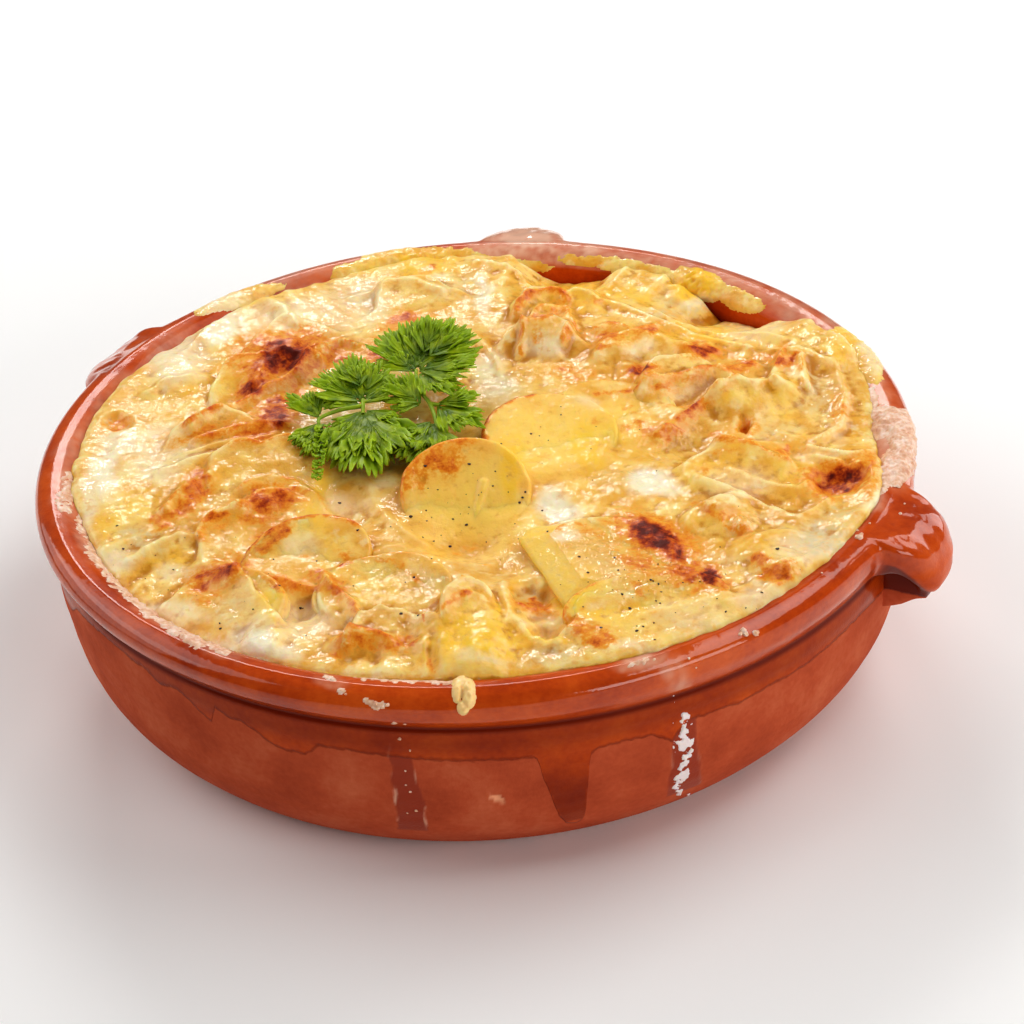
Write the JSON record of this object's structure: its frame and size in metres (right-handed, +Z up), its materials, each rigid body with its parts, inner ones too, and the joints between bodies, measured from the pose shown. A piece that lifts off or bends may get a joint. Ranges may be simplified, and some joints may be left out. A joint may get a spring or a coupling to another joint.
{
  "type": "potato gratin in dish",
  "caption": "Sliced potatoes baked in cream and cheese, browned on top with a sprig of curly parsley, in a round glazed terracotta dish with pinched lugs round its rim.",
  "frame": {"origin": "centre of the dish's flat foot, on the table", "axes": "+Z up; -Y towards the front, where the cream has run over the rim; +X to the right, with one lug to the front right, one at the back and one to the back left"},
  "size_m": [0.2029, 0.2125, 0.0646],
  "materials": {
    "dish": "clear brown glaze over red terracotta, bare clay below",
    "potato": "moist baked potato, browned at the edges",
    "gratin": "moist baked cream and cheese, browned in patches",
    "parsley": "fresh curly parsley leaf"
  },
  "bodies": {
    "root": {"dish": "dish", "potato_slice_front": "potato", "potato_slice_middle": "potato", "potato_slice_behind": "potato", "potato_slice_left": "potato", "potato_slice_low": "potato", "potato_slice_cut": "potato", "potato_slice_right": "potato", "potato_slice_corner": "potato", "gratin": "gratin", "parsley": "parsley"}
  },
  "joints": []
}
